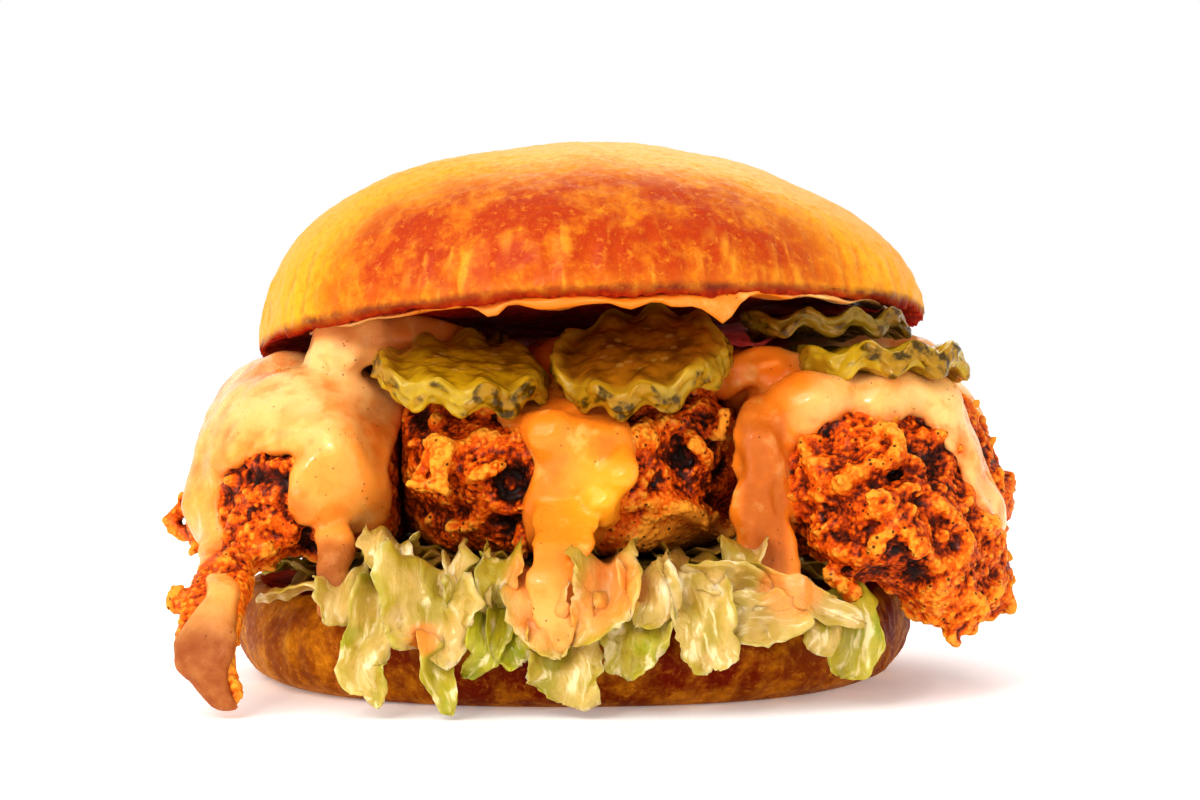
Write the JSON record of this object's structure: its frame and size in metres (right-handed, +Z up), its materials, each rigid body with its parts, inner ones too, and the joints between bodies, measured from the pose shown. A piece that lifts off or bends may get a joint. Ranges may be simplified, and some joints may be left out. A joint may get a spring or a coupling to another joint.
{
  "type": "chicken burger",
  "caption": "Crusted fried chicken burger: glazed bun, shredded lettuce, chicken pieces that hang over the rim, poured creamy sauce and crinkle-cut pickle slices.",
  "frame": {"origin": "middle of the burger's outline seen from above, on the surface it stands on", "axes": "-Y faces the picture's camera, +X to its right, +Z up"},
  "size_m": [0.1346, 0.1238, 0.0862],
  "materials": {
    "bun_crust": "satin egg-glazed crust",
    "chicken_breading": "rough fried crust",
    "sauce_cream": "glossy wet",
    "pickle_flesh": "wet",
    "lettuce_leaf": "satin"
  },
  "bodies": {
    "root": {"bun_crown": "bun_crust", "bun_heel": "bun_crust", "chicken_left": "chicken_breading", "chicken_middle": "chicken_breading", "chicken_right": "chicken_breading", "lettuce": "lettuce_leaf", "pickle_back": "pickle_flesh", "pickle_left": "pickle_flesh", "pickle_middle": "pickle_flesh", "pickle_right": "pickle_flesh", "pickle_upper": "pickle_flesh", "sauce_crown": "sauce_cream", "sauce_left": "sauce_cream", "sauce_middle": "sauce_cream", "sauce_right": "sauce_cream"}
  },
  "joints": []
}
